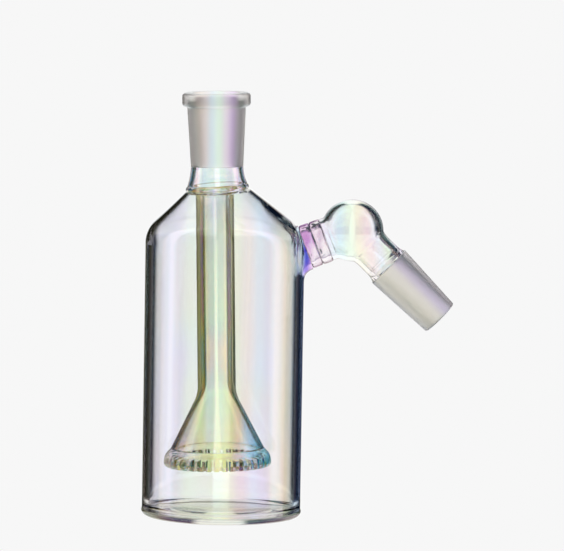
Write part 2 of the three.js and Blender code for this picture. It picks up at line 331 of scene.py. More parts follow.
def coated_glass(
    name, tints, rim_tints_and_shade, graze=(0.64, 0.84), direction=(1, 0, 0), second_tint_and_shade=None, film=(260, 420),
    index=1.47, roughness=0.0, drift=5.0, ripple=None,
):
    """The first colours are for walls seen face on, the second for rims where the light grazes: partly
    the coat's deeper tint and partly painted shade for the dark edges of the walls. graze is where the
    one turns into the other. The optional second set of tints has its own direction and multiplies the
    colour, and on the chamber's shoulder it is painted shade. film is the coat's (thinnest, thickest)
    in nm, and ripple is (scale, strength)."""
    material = bpy.data.materials.new(name)
    material.use_nodes = True
    nodes, links = material.node_tree.nodes, material.node_tree.links
    shader = nodes["Principled BSDF"]
    shader.inputs["IOR"].default_value = index
    shader.inputs["Roughness"].default_value = roughness
    shader.inputs["Thin Film IOR"].default_value = FILM_INDEX
    shader.inputs["Transmission Weight"].default_value = 1

    place = nodes.new("ShaderNodeTexCoord").outputs["Object"]
    across = along(nodes, links, place, direction)
    wander = cloudy(nodes, links, place, COAT_CLOUDS)
    lay_film(nodes, links, shader, wander, film)

    grazing = grazed(nodes, links, graze)
    face_on = bands(nodes, links, shifted(nodes, links, across, wander, drift), tints)
    # The rim colours, mixed in by how far the wall is seen at a slant, are partly the coat's tint and
    # partly painted shade.
    rim_tint_and_shade_ramp = bands(nodes, links, across, rim_tints_and_shade)
    colour = mixed(nodes, links, grazing, face_on.outputs["Color"], rim_tint_and_shade_ramp.outputs["Color"])
    if second_tint_and_shade:
        second = bands(nodes, links, along(nodes, links, place, second_tint_and_shade[0]), second_tint_and_shade[1])
        colour = mixed(nodes, links, 1, colour, second.outputs["Color"], "MULTIPLY")
    links.new(colour, shader.inputs["Base Color"])

    if any(len(tint) > 3 for _, tint in tints + rim_tints_and_shade):
        clearness = nodes.new("ShaderNodeMix")
        links.new(grazing, clearness.inputs["Factor"])
        links.new(face_on.outputs["Alpha"], clearness.inputs["A"])
        links.new(rim_tint_and_shade_ramp.outputs["Alpha"], clearness.inputs["B"])
        links.new(clearness.outputs["Result"], shader.inputs["Transmission Weight"])
    if ripple:
        ripple_skin(nodes, links, shader, place, *ripple)
    print(name, "is made of", len(nodes), "nodes")
    return material


# %% [markdown]
# ## Base disc
# The base is a plain disc of sheet glass that the chamber is sealed to, and its heel is melted round.
# A cylinder with a Bevel modifier would round both edges alike. A turned outline gives the heel a
# wide round and the top edge only a small one. Its tints are deeper than the chamber's, olive on the
# left, and its rim colours are painted shade for the dark line round the heel.

# %% Glass of the base
base_glass = coated_glass(
    "coated_base_glass",
    [
        (-26, (0.68, 0.62, 0.38)),
        (-16, (0.80, 0.78, 0.72)),
        (0, (0.80, 0.82, 0.73)),
        (14, (0.82, 0.85, 0.84)),
        (26, (0.50, 0.62, 0.56)),
    ],
    # The rim colours are painted shade: a dark line at the heel and the edges, with olive on the left.
    [
        (-26, (0.30, 0.24, 0.08)),
        (-10, (0.25, 0.24, 0.15)),
        (14, (0.18, 0.18, 0.18)),
        (26, (0.04, 0.10, 0.07)),
    ],
)

# %% Turn the base disc
BASE_OVERHANG = 0.2
HEEL = 1.6  # 0.9 in the solid: a wider round softens the dark line at the foot
TOP_EDGE = 0.2

base_radius = CHAMBER_RADIUS + BASE_OVERHANG
base_outline = [
    (0, 0),
    *arc(base_radius - HEEL, HEEL, HEEL, -90, 0),
    *arc(base_radius - TOP_EDGE, BASE_THICKNESS - TOP_EDGE, TOP_EDGE, 0, 90, 3),
    (0, BASE_THICKNESS),
]
base = turn_on_lathe("base", base_outline, steps=128)
finish_glass(base, "base_disc", base_glass)

# %% [markdown]
# ## Opening a port in blown glass
# A port is made by heating one spot of a blown wall, bursting it, and pulling the rim of the hole
# out to a short tube. The lathe's grid has no round hole, and bridging to one leaves pinched faces
# that glass would show, so the rim's points are placed in code: the hole's edge is pushed onto a
# circle, the grid round it is relaxed on the skin, and the rim is drawn out along smooth curves.


# %% Measure about a port's axis
def outward(angle, axis):
    """The direction away from the axis at an angle round it, where 0 is along y."""
    side = Vector((0, 1, 0))
    return side * math.cos(angle) + axis.cross(side) * math.sin(angle)


def about(point, inside, axis):
    """Distance from the port's axis and angle round it; the far wall counts as far away."""
    reach = point - inside
    if reach.dot(axis) < 0:
        return 1.0, 0.0
    side = Vector((0, 1, 0))
    up = axis.cross(side)
    return math.hypot(reach.dot(side), reach.dot(up)), math.atan2(reach.dot(up), reach.dot(side))


# %% Burst the hole, walk round its rim and space the rim evenly
def burst_hole(mesh, inside, axis, hole):
    """Delete the faces in the hole, and give the points of its rim in order."""
    burst = [f for f in mesh.faces if all(about(v.co, inside, axis)[0] < hole * MM for v in f.verts)]
    bmesh.ops.delete(mesh, geom=burst, context="FACES")
    edges = [
        e for e in mesh.edges
        if e.is_boundary and about(e.verts[0].co, inside, axis)[0] < 1.5 * hole * MM
    ]
    loop = [edges[0].verts[0]]
    taken = set()
    while len(loop) <= len(edges):
        step = next((e for e in loop[-1].link_edges if e in edges and e not in taken), None)
        if step is None:
            break
        taken.add(step)
        loop.append(step.other_vert(loop[-1]))
    return loop[:-1]


def spaced_evenly(angles):
    """As many angles, evenly spaced, turned so that they lie as near as they can to the old ones."""
    count = len(angles)
    sense = 1 if sum(math.sin(b - a) for a, b in zip(angles, angles[1:])) > 0 else -1
    spread = [a - sense * 2 * math.pi * i / count for i, a in enumerate(angles)]
    start = math.atan2(sum(map(math.sin, spread)), sum(map(math.cos, spread)))
    return [start + sense * 2 * math.pi * i / count for i in range(count)]


# %% Relax the grid, and draw the rim out along smooth curves
def relax(loose, skin, passes=40):
    """Move each point to the middle of its neighbours, and back onto the skin."""
    for _ in range(passes):
        wanted = []
        for vert in loose:
            middle = sum((e.other_vert(vert).co for e in vert.link_edges), Vector())
            wanted.append(skin.find_nearest(middle / len(vert.link_edges))[0])
        for vert, place in zip(loose, wanted):
            vert.co = place


def drawn_out(first, normal, last, axis, inward, lead, t):
    """A point at t on the curve that leaves the skin along its surface and ends along the axis."""
    slide = (inward - normal * inward.dot(normal)).normalized()
    span = (last - first).length
    first_lead = first + slide * span * lead[0]
    last_lead = last - axis * span * lead[1]
    return (
        first * (1 - t) ** 3
        + first_lead * 3 * t * (1 - t) ** 2
        + last_lead * 3 * t**2 * (1 - t)
        + last * t**3
    )


# %% Pull a port out of a skin
def open_port(piece, inside, axis, hole, end, end_radius, lead=(0.5, 0.5), rings=8, calm=4.0):
    """hole and end_radius are radii; end is how far the port's end is from inside, on its axis.
    The grid is relaxed as far as calm outside the hole."""
    mesh = bmesh.new()
    mesh.from_mesh(piece.data)
    skin = BVHTree.FromBMesh(mesh)
    inside = Vector(inside) * MM
    loop = burst_hole(mesh, inside, axis, hole)
    count = len(loop)
    angles = spaced_evenly([about(v.co, inside, axis)[1] for v in loop])

    normals = []
    for vert, angle in zip(loop, angles):
        origin = inside + outward(angle, axis) * hole * MM + axis
        place, normal, _, _ = skin.ray_cast(origin, -axis)
        vert.co = place
        normals.append(normal)
    held = set(loop)
    loose = [v for v in mesh.verts if v not in held and not v.is_boundary]
    relax([v for v in loose if about(v.co, inside, axis)[0] < (hole + calm) * MM], skin)

    rows = [loop]
    for ring in range(1, rings + 1):
        row = []
        for vert, angle, normal in zip(loop, angles, normals):
            last = inside + axis * end * MM + outward(angle, axis) * end_radius * MM
            inward = -outward(angle, axis)
            place = drawn_out(vert.co, normal, last, axis, inward, lead, ring / rings)
            row.append(mesh.verts.new(place))
        rows.append(row)
    for low, high in zip(rows, rows[1:]):
        for i in range(count):
            j = (i + 1) % count
            mesh.faces.new((low[i], low[j], high[j], high[i]))
    bmesh.ops.recalc_face_normals(mesh, faces=mesh.faces)
    mesh.to_mesh(piece.data)
    mesh.free()
    print(piece.name, "port has", count, "points round its rim")


# %% Give a skin its wall
def give_wall(piece, thickness):
    """Turn an outer skin into glass of even thickness, grown inwards."""
    pick_only(piece)
    bpy.ops.object.modifier_add(type="SOLIDIFY")
    wall = piece.modifiers[-1]
    wall.thickness = thickness * MM
    wall.offset = -1
    wall.use_even_offset = True
    bpy.ops.object.modifier_apply(modifier=wall.name)


# %% [markdown]
# ## Chamber
# A stock tube whose top is worked down to a sloping shoulder. The whole wall could be turned at
# once, but a port can only be pulled out of a single skin, so only the outer skin is turned. The
# shoulder then slides off the axis towards the neck, its top leans with the collar, the port is
# pulled out of it, and last of all the skin gets its wall. Blowing leaves the wall thinner towards
# the top of the shoulder. Inside, the wall meets the base in a rounded fillet, which is where the
# floor seems to end when one looks through the side.

# %% Glass of the chamber
CHAMBER_TINTS = [
    (-26, (0.88, 0.88, 0.84)),
    (-21, (0.92, 0.91, 0.95)),
    (-18, (0.89, 0.89, 0.94)),
    (-15, (0.92, 0.91, 0.97)),
    (-11, (0.95, 0.98, 0.96)),
    (-6, (0.96, 0.98, 0.97)),
    (-1, (0.95, 0.99, 0.94)),
    (3, (0.97, 0.98, 0.91)),
    (7, (0.97, 0.93, 0.93)),
    (11, (0.93, 0.95, 1.00)),
    (14, (0.93, 0.92, 0.99)),
    (17, (0.91, 0.89, 0.88)),
    (20, (0.95, 0.90, 0.82)),
    (24.5, (0.70, 0.80, 0.93)),
    (26.3, (0.22, 0.14, 0.75)),
    (28, (0.80, 0.55, 0.85)),
]
# The rim colours are near black: painted shade for the dark edges of the wall, with the coat's navy and
# purple at the port's root.
CHAMBER_RIM_TINTS_AND_SHADE = [
    (-26, (0.05, 0.05, 0.03)),
    (-20, (0.05, 0.05, 0.04)),
    (18, (0.03, 0.04, 0.06)),
    (24.5, (0.01, 0.02, 0.06)),
    (26.5, (0.02, 0.01, 0.20)),
    (28, (0.20, 0.03, 0.20)),
]
# Painted shade: a multiply that darkens the shoulder up to the right, with a teal tint of the coat in
# it.
shoulder_tint_and_painted_shade = (
    (0.57, 0, 0.82),  # up and to the right
    [(78, (1, 1, 1)), (84, (0.89, 0.94, 0.97)), (88, (0.88, 0.92, 0.96)), (92, (0.86, 0.93, 0.95))],
)
chamber_glass = coated_glass(
    "coated_chamber_glass", CHAMBER_TINTS, CHAMBER_RIM_TINTS_AND_SHADE, second_tint_and_shade=shoulder_tint_and_painted_shade
)

# %% Turn the chamber's skin
SHOULDER_BEND = 9.0
SHOULDER_SLOPE = 39.0
FOOT_FILLET = 2.4
NECK_SEAT = 10.2
FLANGE_ROOM = 0.2

cone_turn = 90 - SHOULDER_SLOPE
cone_foot = (
    CHAMBER_RADIUS - SHOULDER_BEND * (1 - math.cos(math.radians(cone_turn))),
    WALL_TOP + SHOULDER_BEND * math.sin(math.radians(cone_turn)),
)
top = collar_middle - COLLAR_HEIGHT / 2 - SEAM
foot_rows = [
    (CHAMBER_RADIUS, BASE_THICKNESS + SEAM + FOOT_FILLET * (1 - math.cos(math.radians(turn))))
    for turn in range(0, 91, 15)
]
chamber_outline = [
    *foot_rows,
    *run(foot_rows[-1], (CHAMBER_RADIUS, WALL_TOP), 60)[1:],
    *arc(CHAMBER_RADIUS - SHOULDER_BEND, WALL_TOP, SHOULDER_BEND, 0, cone_turn, 10)[1:],
    *run(cone_foot, (NECK_SEAT, top), 12)[1:],
    *run((NECK_SEAT, top), (STEM_RADIUS + FLANGE_WIDTH + FLANGE_ROOM, top), 3)[1:],
]
chamber = turn_on_lathe("chamber_glass", chamber_outline, steps=128)

# %% Slide the shoulder towards the neck
SLIDE_POWER = 2.5  # the slide gathers speed towards the top
LEAN_POWER = 6  # the lean is nearly all in the last few millimetres

neck_tilt = math.tan(math.radians(COLLAR_LEAN))
for vert in chamber.data.vertices:
    height = vert.co.z / MM
    share = max(0, (height - WALL_TOP) / (collar_middle - WALL_TOP))
    vert.co.x -= NECK_OFFSET * share**SLIDE_POWER * MM
    vert.co.z += (vert.co.x + NECK_OFFSET * MM) * neck_tilt * share**LEAN_POWER

# %% Pull the side port
PORT_ROOT = 9.8  # radius of the hole that the port is pulled from
PORT_DEPTH = 14.0  # from the point inside the chamber that the port is measured from, to its end

inside_chamber = bulb_centre - arm_axis * (port_end + PORT_DEPTH)
open_port(
    chamber,
    inside_chamber,
    arm_axis,
    hole=PORT_ROOT,
    end=PORT_DEPTH,
    end_radius=ARM_RADIUS + 0.35,
    lead=(0.35, 0.45),
)

# %% Give the chamber its wall, thinner up the shoulder
CHAMBER_WALL = 1.8
BLOWN_THIN = 0.55  # share of the wall that is lost at the top; the solid's wall is even
PORT_SIDE = (12, 20)  # places along x between which the thinning fades out towards the port

skin_points = len(chamber.data.vertices)
give_wall(chamber, CHAMBER_WALL)
points = chamber.data.vertices
for outer, inner in zip(points[:skin_points], points[skin_points:]):
    up_shoulder = min(1, max(0, (outer.co.z / MM - WALL_TOP) / (collar_middle - WALL_TOP)))
    off_port = min(1, max(0, (PORT_SIDE[1] - outer.co.x / MM) / (PORT_SIDE[1] - PORT_SIDE[0])))
    inner.co = inner.co.lerp(outer.co, BLOWN_THIN * up_shoulder * off_port)

# %% Round the wall into the base
fillet_top = BASE_THICKNESS + SEAM + FOOT_FILLET
for vert in chamber.data.vertices:
    radius = math.hypot(vert.co.x, vert.co.y) / MM
    height = vert.co.z / MM
    on_inner_skin = radius < CHAMBER_RADIUS - 0.5
    if height < fillet_top and on_inner_skin:
        drop = (fillet_top - height) / FOOT_FILLET
        pulled = CHAMBER_RADIUS - CHAMBER_WALL - FOOT_FILLET * (1 - math.sqrt(max(0, 1 - drop**2)))
        vert.co.x *= pulled / radius
        vert.co.y *= pulled / radius
finish_glass(chamber, "chamber", chamber_glass)

# %% [markdown]
# ## Neck
# A bead of glass seals the neck to the shoulder, and above it a flared tube narrows to the socket.
# One outline could hold all three, but each is its own solid, with its own glass, so each is turned
# alone. The tube's foot leans with the bead and its top with the socket. Its wall is thinner than the
# solid's, and so are the dark lines at its edges, which the lower index makes thinner still.

# %% Clear glass of the neck
neck_glass = coated_glass(
    "coated_neck_glass",
    [
        (-12, (0.96, 0.95, 0.93)),
        (-5, (0.97, 0.98, 0.98)),
        (-2, (0.96, 0.99, 0.98)),
        (2, (0.98, 0.91, 0.95)),
        (5, (0.99, 0.93, 0.95)),
        (8, (0.95, 0.95, 0.92)),
    ],
    # The rim colours are painted shade: dark lines at the edges of the bead and the tube.
    [(-12, (0.10, 0.11, 0.10)), (8, (0.10, 0.12, 0.11))],
    graze=(0.72, 0.88),
    index=1.22,
    drift=2.0,
)

# %% Turn the collar
COLLAR_BORE = 8.3
COLLAR_WIDTH = 1.6

neck_place = (-NECK_OFFSET, 0, collar_middle)
half_bead = COLLAR_HEIGHT / 2
collar_outline = [
    (COLLAR_BORE, -half_bead),
    *arc(COLLAR_BORE + COLLAR_WIDTH - half_bead, 0, half_bead, -90, 90, 12),
    (COLLAR_BORE, half_bead),
    (COLLAR_BORE, -half_bead),
]
collar = put(turn_on_lathe("neck_seal_bead", collar_outline), -COLLAR_LEAN, neck_place)
finish_glass(collar, "neck_collar", neck_glass)

# %% Turn the neck tube
NECK_HEIGHT = 6.8
NECK_LEAN = 1.4
NECK_FLARE = 1.1
NECK_WALL = 1.0  # 2.1 in the solid: a thin wall gives finer dark lines
NECK_SETTLE = 3.0  # height over which the tube leaves the collar's lean for its own
JOINT_WALL = 2.1


def bore_at(height):
    """Radius of the ground bore at a height over its small end."""
    return JOINT_RADIUS - JOINT_TAPER * (JOINT_LENGTH - height)


tube_outer = bore_at(0) + JOINT_WALL
tube_wide = tube_outer + NECK_FLARE
tube_foot = half_bead + SEAM
tube_top = NECK_HEIGHT - SEAM
tube_outline = [
    (tube_wide - NECK_WALL, tube_foot),
    (tube_wide, tube_foot),
    *bend((tube_wide, tube_foot + 0.2), (tube_outer + 0.1, tube_top * 0.55), (tube_outer, tube_top), 12),
    *bend(
        (tube_outer - NECK_WALL, tube_top),
        (tube_outer - NECK_WALL + 0.1, tube_top * 0.55),
        (tube_wide - NECK_WALL, tube_foot),
        12,
    ),
]
neck_tube = put(turn_on_lathe("neck_tube_glass", tube_outline), -NECK_LEAN, neck_place)
for vert in neck_tube.data.vertices:
    height = vert.co.z / MM - collar_middle
    share = max(0, 1 - (height - half_bead) / NECK_SETTLE)
    lean_more = math.tan(math.radians(COLLAR_LEAN - NECK_LEAN))
    vert.co.z += (vert.co.x + NECK_OFFSET * MM) * lean_more * min(1, share)
finish_glass(neck_tube, "neck_tube", neck_glass)

# %% [markdown]
# ## Ground socket
# The socket is ground inside and out with grit, so it is matt and scatters the light. A bump from
# a fine noise could stand for the grit, but the grains are far too fine to be seen one by one, so
# the shader's roughness stands for them.

# %% Ground glass of the socket
socket_glass = coated_glass(
    "ground_socket_glass",
    [
        (-13, (0.98, 0.97, 0.94)),
        (-9, (0.97, 0.90, 0.84)),
        (-6.5, (0.96, 0.91, 0.90)),
        (-4.5, (0.86, 0.94, 0.98)),
        (-2.2, (0.89, 0.99, 0.90)),
        (0, (0.97, 0.91, 0.96)),
        (2.3, (0.91, 0.78, 1.00)),
        (4.5, (0.99, 0.95, 0.95)),
        (8, (0.97, 0.97, 0.90)),
    ],
    # The rim colours are painted shade: a slight darkening where the socket's sides turn away.
    [(-13, (0.90, 0.90, 0.87)), (8, (0.90, 0.90, 0.86))],
    graze=(0.6, 0.9),
    film=(200, 300),
    roughness=0.28,
    drift=0.8,
)

# %% Turn the ground socket
LIP_WIDTH = 1.35
LIP_HEIGHT = 4.3
LIP_EDGE = 1.1

socket_top = NECK_HEIGHT + JOINT_LENGTH
lip_radius = bore_at(JOINT_LENGTH) + JOINT_WALL + LIP_WIDTH
lip_foot = socket_top - LIP_HEIGHT
below_lip = bore_at(JOINT_LENGTH - LIP_HEIGHT) + JOINT_WALL
socket_outline = [
    (bore_at(0), NECK_HEIGHT),
    (tube_outer, NECK_HEIGHT),
    *run((tube_outer, NECK_HEIGHT + 0.2), (below_lip, lip_foot - 0.5), 10),
    *arc(below_lip + 0.5, lip_foot - 0.5, 0.5, 180, 90, 4),
    *arc(lip_radius - LIP_EDGE, lip_foot + LIP_EDGE, LIP_EDGE, -90, 0, 8),
    *arc(lip_radius - LIP_EDGE, socket_top - LIP_EDGE, LIP_EDGE, 0, 90, 8),
    *arc(bore_at(JOINT_LENGTH) + 0.5, socket_top - 0.5, 0.5, 90, 180, 5),
    *run((bore_at(JOINT_LENGTH - 0.7), socket_top - 0.7), (bore_at(0), NECK_HEIGHT), 10),
]
socket = put(turn_on_lathe("ground_socket_glass", socket_outline), -NECK_LEAN, neck_place)
finish_glass(socket, "ground_socket", socket_glass)

# %% [markdown]
# ## Downstem
# The stem is a tube that hangs from a flange in the neck and flares into a bell. A Bevel modifier
# could soften a straight flare, but the two bends have different sizes, so both are drawn as arcs.
# Its coat is fumed on: olive along the tube, blue on the right of the bell and maroon on the left.
# The rims' colours are partly the fume's and partly painted shade for the edges of the tube and
# the bell. They are partly cloudy, which is the fourth value of a tint, because fully clear rims
# only show what is behind them.

# %% Glass of the downstem
stem_blush = (
    (0, 0, 1),
    [(25, (1, 1, 1)), (72, (1, 1, 1)), (88, (0.96, 0.95, 1.00)), (100, (0.94, 0.91, 1.00))],
)
stem_glass = coated_glass(
    "fumed_stem_glass",
    [
        (-16, (0.93, 0.88, 0.83)),
        (-10, (0.93, 0.88, 0.82)),
        (-7, (0.98, 0.97, 0.74)),
        (-4, (0.99, 1.00, 0.93)),
        (-1, (0.99, 1.00, 0.89)),
        (2, (1.00, 0.99, 0.78)),
        (5, (1.00, 0.92, 0.80)),
        (8, (0.82, 0.95, 1.00)),
        (13, (0.58, 0.92, 1.00)),
    ],
    # The rim colours are partly the fume's maroon, yellow and blue and partly painted shade at the
    # edges.
    [
        (-16, (0.62, 0.34, 0.28, 0.6)),
        (-11, (0.56, 0.30, 0.24, 0.6)),
        (-7.6, (0.99, 0.97, 0.36, 0.4)),
        (-4, (0.99, 0.98, 0.42, 0.4)),
        (-1, (0.84, 0.88, 0.38, 0.55)),
        (2, (0.84, 0.86, 0.40, 0.55)),
        (5, (0.60, 0.75, 0.72, 0.55)),
        (8, (0.04, 0.62, 0.97, 0.4)),
        (13, (0.10, 0.74, 0.99, 0.4)),
    ],
    graze=(0.32, 0.5),
    second_tint_and_shade=stem_blush,
    index=1.24,
    drift=2.0,
)

# %% The bell's wall is thinner than the stem's, so its rim of colour and painted shade is a narrower line
BELL_SHOULDER = 37.0  # height at which the stem turns into the bell
BELL_BLEND = 4.0  # and how far above and below that the rim changes
BELL_GRAZE = (0.62, 0.82)

nodes, links = stem_glass.node_tree.nodes, stem_glass.node_tree.links
rim = nodes["grazing"]
stem_height = along(nodes, links, nodes.new("ShaderNodeTexCoord").outputs["Object"], (0, 0, 1))
for limit, bell_limit in zip(("From Min", "From Max"), BELL_GRAZE):
    narrower = nodes.new("ShaderNodeMapRange")
    narrower.inputs["From Min"].default_value = (BELL_SHOULDER + BELL_BLEND) * MM
    narrower.inputs["From Max"].default_value = (BELL_SHOULDER - BELL_BLEND) * MM
    narrower.inputs["To Min"].default_value = rim.inputs[limit].default_value
    narrower.inputs["To Max"].default_value = bell_limit
    links.new(stem_height, narrower.inputs["Value"])
    links.new(narrower.outputs["Result"], rim.inputs[limit])
print("the rim narrows below", BELL_SHOULDER, "mm")

# %% Where the stem hangs and how far it leans
STEM_TOP_OFFSET = 3.5
STEM_FOOT_OFFSET = 1.3
CROWN_HEIGHT = 5.3
CROWN_FLOAT = 15.6  # height of the crown's foot

stem_top = collar_middle
stem_bottom = -(stem_top - CROWN_FLOAT - CROWN_HEIGHT - SEAL_GAP)
stem_lean = -math.degrees(
    math.atan((STEM_TOP_OFFSET - STEM_FOOT_OFFSET) / (stem_top - CROWN_FLOAT))
)
print("the stem is", round(-stem_bottom, 2), "mm long and leans", round(stem_lean, 2), "degrees")

# %% Turn the downstem
STEM_WALL = 1.8
FLANGE_HEIGHT = 4.0
BELL_BEND = 10.0
BELL_SLOPE = 27.0
BELL_RADIUS = 14.7
BELL_WALL = 1.1  # 1.7 in the solid, for the same reason as the neck's


def bell_start(radius, size, width):
    """Height at which the stem bends out, so that the bell ends as wide as it should."""
    slope = math.radians(BELL_SLOPE)
    bent_out = size * (1 - math.cos(slope))
    return stem_bottom + size * math.sin(slope) + (width - radius - bent_out) / math.tan(slope)


stem_bore = STEM_RADIUS - STEM_WALL
outer_bend = bell_start(STEM_RADIUS, BELL_BEND, BELL_RADIUS)
inner_size = BELL_BEND + STEM_WALL
inner_bend = bell_start(stem_bore, inner_size, BELL_RADIUS - BELL_WALL)
flange_radius = STEM_RADIUS + FLANGE_WIDTH
stem_outline = [
    *bend((flange_radius - STEM_WALL, 0), (stem_bore, -FLANGE_HEIGHT / 2), (stem_bore, -FLANGE_HEIGHT)),
    *run((stem_bore, -FLANGE_HEIGHT), (stem_bore, inner_bend), 24),
    *arc(stem_bore + inner_size, inner_bend, inner_size, 180, 180 + BELL_SLOPE),
    (BELL_RADIUS - BELL_WALL, stem_bottom),
    (BELL_RADIUS, stem_bottom),
    *arc(STEM_RADIUS + BELL_BEND, outer_bend, BELL_BEND, 180 + BELL_SLOPE, 180),
    *run((STEM_RADIUS, outer_bend), (STEM_RADIUS, -FLANGE_HEIGHT), 24),
    *bend((STEM_RADIUS, -FLANGE_HEIGHT), (STEM_RADIUS, -FLANGE_HEIGHT / 2), (flange_radius, -0.8)),
    (flange_radius, 0),
    (flange_radius - STEM_WALL, 0),
]
stem_place = (-STEM_TOP_OFFSET, 0, stem_top)
stem = put(turn_on_lathe("downstem_glass", stem_outline), stem_lean, stem_place)
finish_glass(stem, "downstem_with_bell", stem_glass)

# %% [markdown]
# ## Diffuser
# Round the bell's foot runs a crown, slit with a diamond wheel so that the gas leaves in small
# bubbles, and a thin plate closes it from below. An Array modifier could repeat a slit round the
# crown, but its turns would need an empty to point at. A loop makes the 40 slits, joins them to one
# cutter, and one Boolean cuts them all. The crown's glass has a low index, so that so many small
# faces stay pale.

# %% Glass of the diffuser
crown_glass = coated_glass(
    "fumed_crown_glass",
    [
        (-18, (0.97, 0.94, 0.88)),
        (-10, (0.97, 0.96, 0.90)),
        (-5, (0.95, 0.95, 0.74)),
        (1, (0.97, 0.93, 0.62)),
        (5, (0.97, 0.92, 0.90)),
        (9, (0.80, 0.95, 0.99)),
        (16, (0.74, 0.96, 1.00)),
    ],
    # The rim colours are partly the fume's and partly painted shade at the crown's edges.
    [
        (-18, (0.85, 0.78, 0.68)),
        (0, (0.85, 0.80, 0.50)),
        (9, (0.35, 0.80, 0.97)),
        (16, (0.45, 0.88, 0.99)),
    ],
    index=1.22,
    drift=3.0,
)

# %% Turn the crown
CROWN_RADIUS = 16.9
CROWN_BORE = 13.9
CROWN_TOP_BORE = 13.0  # the solid's bore is straight, and its outer rounds are a little smaller
CROWN_EDGE = 1.0
SLOT_COUNT = 40

crown_top = stem_bottom - SEAM
crown_foot = stem_bottom - SEAL_GAP - CROWN_HEIGHT
crown_outline = [
    (CROWN_BORE, crown_foot),
    (CROWN_RADIUS - CROWN_EDGE, crown_foot),
    *bend(
        (CROWN_RADIUS - CROWN_EDGE, crown_foot),
        (CROWN_RADIUS, crown_foot),
        (CROWN_RADIUS, crown_foot + 1.5),
        5,
    ),
    *bend(
        (CROWN_RADIUS, crown_foot + 1.5),
        (CROWN_RADIUS, crown_foot + CROWN_HEIGHT * 0.75),
        (BELL_RADIUS, crown_top),
        8,
    ),
    (CROWN_TOP_BORE, crown_top),
    (CROWN_BORE, crown_foot),
]
crown = turn_on_lathe("diffuser_crown_glass", crown_outline, steps=4 * SLOT_COUNT)

# %% Make the slits
SLOT_WIDTH = 1.0
SLOT_HEIGHT = 3.8
SLOT_BELOW = 0.5  # how far a slit starts below the crown's foot
SLOT_PAST = 4.0  # how much longer a slit is than the crown's wall, so that it cuts right through

slit_depth = CROWN_RADIUS - CROWN_BORE + SLOT_PAST
slits = []
for number in range(SLOT_COUNT):
    bpy.ops.object.select_all(action="DESELECT")
    bpy.ops.mesh.primitive_cube_add(size=MM)
    slit = bpy.context.object
    slit.scale = (slit_depth, SLOT_WIDTH, SLOT_HEIGHT)
    slit.location = (CROWN_RADIUS * MM, 0, (crown_foot + SLOT_HEIGHT / 2 - SLOT_BELOW) * MM)
    bpy.ops.object.transform_apply(location=True, rotation=False, scale=True)
    slit.rotation_euler = (0, 0, 2 * math.pi * (number + 0.5) / SLOT_COUNT)
    bpy.ops.object.transform_apply(location=False, rotation=True, scale=False)
    slits.append(slit)
print(len(slits), "slits round the crown")

# %% Cut the slits out of the crown
pick_only(*slits)
bpy.ops.object.join()
cutter = bpy.context.object
pick_only(crown)
bpy.ops.object.modifier_add(type="BOOLEAN")
crown.modifiers[-1].object = cutter
crown.modifiers[-1].operation = "DIFFERENCE"
bpy.ops.object.modifier_apply(modifier=crown.modifiers[-1].name)
bpy.data.objects.remove(cutter)
put(crown, stem_lean, stem_place)
finish_glass(crown, "diffuser_crown", crown_glass)

# %% Turn the plate under the bell
PLATE_THICKNESS = 1.3
PLATE_EDGE = 0.2

plate_radius = CROWN_BORE - SEAM
plate_outline = [
    (0, crown_foot),
    (plate_radius - PLATE_EDGE, crown_foot),
    (plate_radius, crown_foot + PLATE_EDGE),
    (plate_radius, crown_foot + PLATE_THICKNESS - PLATE_EDGE),
    (plate_radius - PLATE_EDGE, crown_foot + PLATE_THICKNESS),
    (0, crown_foot + PLATE_THICKNESS),
]
plate = put(turn_on_lathe("diffuser_plate_glass", plate_outline), stem_lean, stem_place)
finish_glass(plate, "diffuser_plate", crown_glass)

# %% [markdown]
# ## Seal rings
# Two beads of fused glass seal the port to the bulb. They could be two tori, but a torus has no flat
# ends to meet its neighbours, so each is turned with soft shoulders and a straight bore. The heat of
# the flame leaves them uneven, which a bump of small ripples shows.

# %% Glass of the seal rings
ring_glass = coated_glass(
    "coated_ring_glass",
    [
        (26, (0.78, 0.56, 0.80)),
        (28.5, (0.94, 0.89, 0.93)),
        (30, (0.84, 0.75, 0.82)),
        (31.5, (0.96, 0.93, 0.94)),
        (34, (0.86, 0.82, 0.86)),
    ],
    # The rim colours are near black: painted shade at the edges of the beads, with the coat's purple.
    [(26, (0.12, 0.02, 0.16)), (30, (0.16, 0.08, 0.14)), (34, (0.10, 0.06, 0.10))],
    graze=(0.45, 0.7),
    drift=2.0,
    ripple=(420, 0.25),
)

# %% Turn the seal rings
ARM_WALL = 1.8


def seal_ring(name, near, far):
    """A bead from one distance to another behind the bulb, measured on the arm's axis."""
    groove, bulge, soft = 0.35, 0.15, 0.9
    inner, low, high = ARM_RADIUS - ARM_WALL, ARM_RADIUS - groove, ARM_RADIUS + bulge
    outline = [
        (inner, -far),
        *bend((low, -far), (high, -far), (high, soft - far), 6),
        *bend((high, -near - soft), (high, -near), (low, -near), 6),
        (inner, -near),
        (inner, -far),
    ]
    return put(turn_on_lathe(name, outline), 90 - ARM_SLOPE, bulb_centre)


ring_split = bulb_neck + SEAL_GAP * 1.5 + SEAL_RING_LENGTH
bulb_ring = seal_ring("bulb_seal_bead", bulb_neck + SEAM, ring_split - SEAM / 2)
port_ring = seal_ring("port_seal_bead", ring_split + SEAM / 2, port_end - SEAM)
finish_glass(bulb_ring, "bulb_seal_ring", ring_glass)
finish_glass(port_ring, "port_seal_ring", ring_glass)

# %% [markdown]
# ## Splash bulb
# The bulb is a blown ball that catches splashes, with two ports: a wide neck towards the chamber,
# and a long shank that carries the ground cone. A UV sphere with two tubes joined by a Boolean would
# leave a sharp crease at each root. Pulling the ports out of the ball's own skin keeps them soft.
# The ball is turned with its poles away from both ports, where nothing disturbs them.

